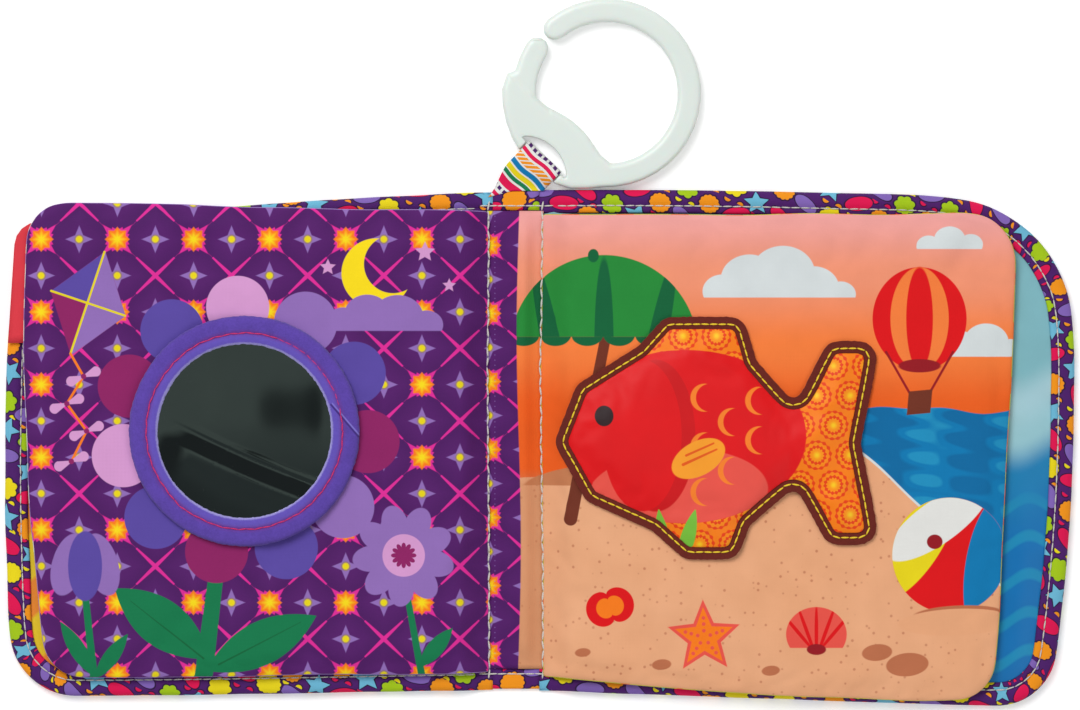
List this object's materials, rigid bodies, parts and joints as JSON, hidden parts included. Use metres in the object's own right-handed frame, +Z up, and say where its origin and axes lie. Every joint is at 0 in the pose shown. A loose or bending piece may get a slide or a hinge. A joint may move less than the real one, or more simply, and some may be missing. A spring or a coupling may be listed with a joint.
{
  "type": "baby soft book",
  "caption": "Open padded cloth book for a baby, with covers, page leaves, a soft mirror, a felt patch, a peek flap and a clip ring on a ribbon loop.",
  "frame": {"origin": "middle of the spine's underside, on the surface that the open book lies on", "axes": "+X to the right-hand cover, +Y to the head of the book, where the clip ring hangs, +Z up"},
  "size_m": [0.3535, 0.2338, 0.0124],
  "materials": {
    "border_cloth": "printed woven polyester, purple ground",
    "left_lining": "yellow and orange printed satin",
    "right_lining": "pale aqua satin turning blue at the foot",
    "left_page": "purple printed polyester",
    "right_page": "sunset, sea and sand printed polyester",
    "page_back": null,
    "gutter": "printed polyester, purple on one side and beach on the other",
    "flap": "coral cloth, smooth",
    "wadding": "white polyester wadding",
    "white_thread": "twisted sewing thread",
    "pink_thread": "twisted sewing thread",
    "yellow_thread": "twisted sewing thread",
    "mirror_film": "soft acrylic mirror film, slightly rippled",
    "mirror_backing": "foam-backed cloth",
    "blue_felt": "blue-violet felt, fuzzy",
    "brown_felt": "dark red-brown felt, fuzzy",
    "patch_cloth": "red and orange printed satin",
    "ribbon": "striped woven ribbon",
    "ring_plastic": "pale mint-white moulded plastic, satin sheen"
  },
  "bodies": {
    "spine": {"spine_cloth": "border_cloth", "spine_wadding": "wadding", "gutter_strip": "gutter", "left_seam_thread": "white_thread", "right_seam_thread": "white_thread"},
    "left_cover": {"left_cover_cloth": "border_cloth", "left_cover_wadding": "wadding", "left_cover_lining": "left_lining", "left_cover_border_stitch": "white_thread"},
    "right_cover": {"right_cover_cloth": "border_cloth", "right_cover_wadding": "wadding", "right_cover_lining": "right_lining", "right_cover_border_stitch": "white_thread"},
    "flap": {"peek_flap": "flap"},
    "left_leaf": {"left_leaf_front": "left_page", "left_leaf_back": "page_back", "left_leaf_wadding": "wadding", "mirror_backing": "mirror_backing", "mirror_film": "mirror_film", "mirror_felt_ring": "blue_felt", "mirror_stitch": "pink_thread"},
    "right_leaf": {"right_leaf_front": "right_page", "right_leaf_back": "page_back", "right_leaf_wadding": "wadding", "patch_felt": "brown_felt", "patch_wadding": "wadding", "patch_top": "patch_cloth", "patch_stitch": "yellow_thread"},
    "ribbon": {"ribbon_loop": "ribbon"},
    "ring": {"clip_ring": "ring_plastic"}
  },
  "joints": [
    {"name": "left_cover_fold", "type": "hinge", "parent": "spine", "child": "left_cover", "pos_m": [-0.0089, 0, 0.0009], "axis": [0, -1, 0], "range_deg": [-84, 90]},
    {"name": "right_cover_fold", "type": "hinge", "parent": "spine", "child": "right_cover", "pos_m": [0.0089, 0, 0.0009], "axis": [0, 1, 0], "range_deg": [-84, 90]},
    {"name": "left_leaf_turn", "type": "hinge", "parent": "left_cover", "child": "left_leaf", "pos_m": [-0.0119, 0, 0.00367], "axis": [0, 1, 0], "range_deg": [0, 135]},
    {"name": "right_leaf_turn", "type": "hinge", "parent": "right_cover", "child": "right_leaf", "pos_m": [0.0119, 0, 0.00367], "axis": [0, -1, 0], "range_deg": [0, 120]},
    {"name": "flap_lift", "type": "hinge", "parent": "left_cover", "child": "flap", "pos_m": [-0.125, 0.032, 0.00545], "axis": [0, 1, 0], "range_deg": [0, 54]},
    {"name": "ribbon_swing", "type": "hinge", "parent": "spine", "child": "ribbon", "pos_m": [0, 0.0828, 0.0022], "axis": [1, 0, 0], "range_deg": [-25, 35]},
    {"name": "clip_swing", "type": "hinge", "parent": "ribbon", "child": "ring", "pos_m": [0.00805, 0.09197, 0.0026], "axis": [-0.7193, 0.6947, 0], "range_deg": [-90, 35]}
  ],
  "couplings": [
    {"joint": "flap_lift", "follows": "left_leaf_turn", "ratio": 0.4}
  ]
}
